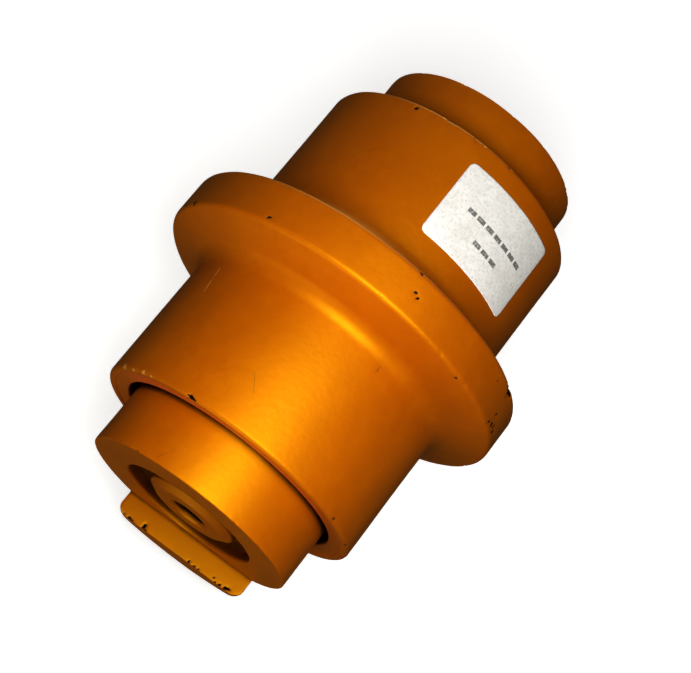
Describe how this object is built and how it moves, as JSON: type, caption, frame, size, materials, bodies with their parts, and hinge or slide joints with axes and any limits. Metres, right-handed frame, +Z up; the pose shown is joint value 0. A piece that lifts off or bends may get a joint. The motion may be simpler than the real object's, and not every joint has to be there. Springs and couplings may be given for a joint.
{
  "type": "track roller",
  "caption": "Sealed steel track roller with a centre flange, turning on a fixed shaft between two hooked end collars with tapped shaft ends.",
  "frame": {"origin": "on the roller's axis at the middle of the centre flange", "axes": "+Y along the axis towards the far end, +Z up as mounted (the hook tabs lie under the frame plates), +X along the track"},
  "size_m": [0.151, 0.2074, 0.151],
  "materials": {
    "roller_paint": "semi-gloss orange-yellow paint",
    "collar_paint": "semi-gloss orange-yellow paint",
    "shaft_steel": "ground steel, painted over on the visible ends",
    "pin_steel": "ground dowel",
    "bush_bronze": "machined bronze",
    "seal_iron": "lapped alloy iron",
    "seal_rubber": "matt nitrile rubber",
    "plug_steel": "turned steel",
    "label_paper": "matt off-white paper"
  },
  "bodies": {
    "shaft_assembly": {"shaft": "shaft_steel", "collar_near": "collar_paint", "collar_far": "collar_paint", "collar_pin_near": "pin_steel", "collar_pin_far": "pin_steel", "fixed_seal_ring_near": "seal_iron", "fixed_seal_ring_far": "seal_iron", "fixed_toric_ring_near": "seal_rubber", "fixed_toric_ring_far": "seal_rubber", "shaft_o_ring_near": "seal_rubber", "shaft_o_ring_far": "seal_rubber", "oil_filler_plug": "plug_steel"},
    "roller": {"roller_shell": "roller_paint", "bushing_near": "bush_bronze", "bushing_far": "bush_bronze", "turning_seal_ring_near": "seal_iron", "turning_seal_ring_far": "seal_iron", "turning_toric_ring_near": "seal_rubber", "turning_toric_ring_far": "seal_rubber", "label": "label_paper"}
  },
  "joints": [
    {"name": "roller_spin", "type": "hinge", "parent": "shaft_assembly", "child": "roller", "pos_m": [0, 0, 0], "axis": [0, 1, 0], "continuous": true}
  ]
}
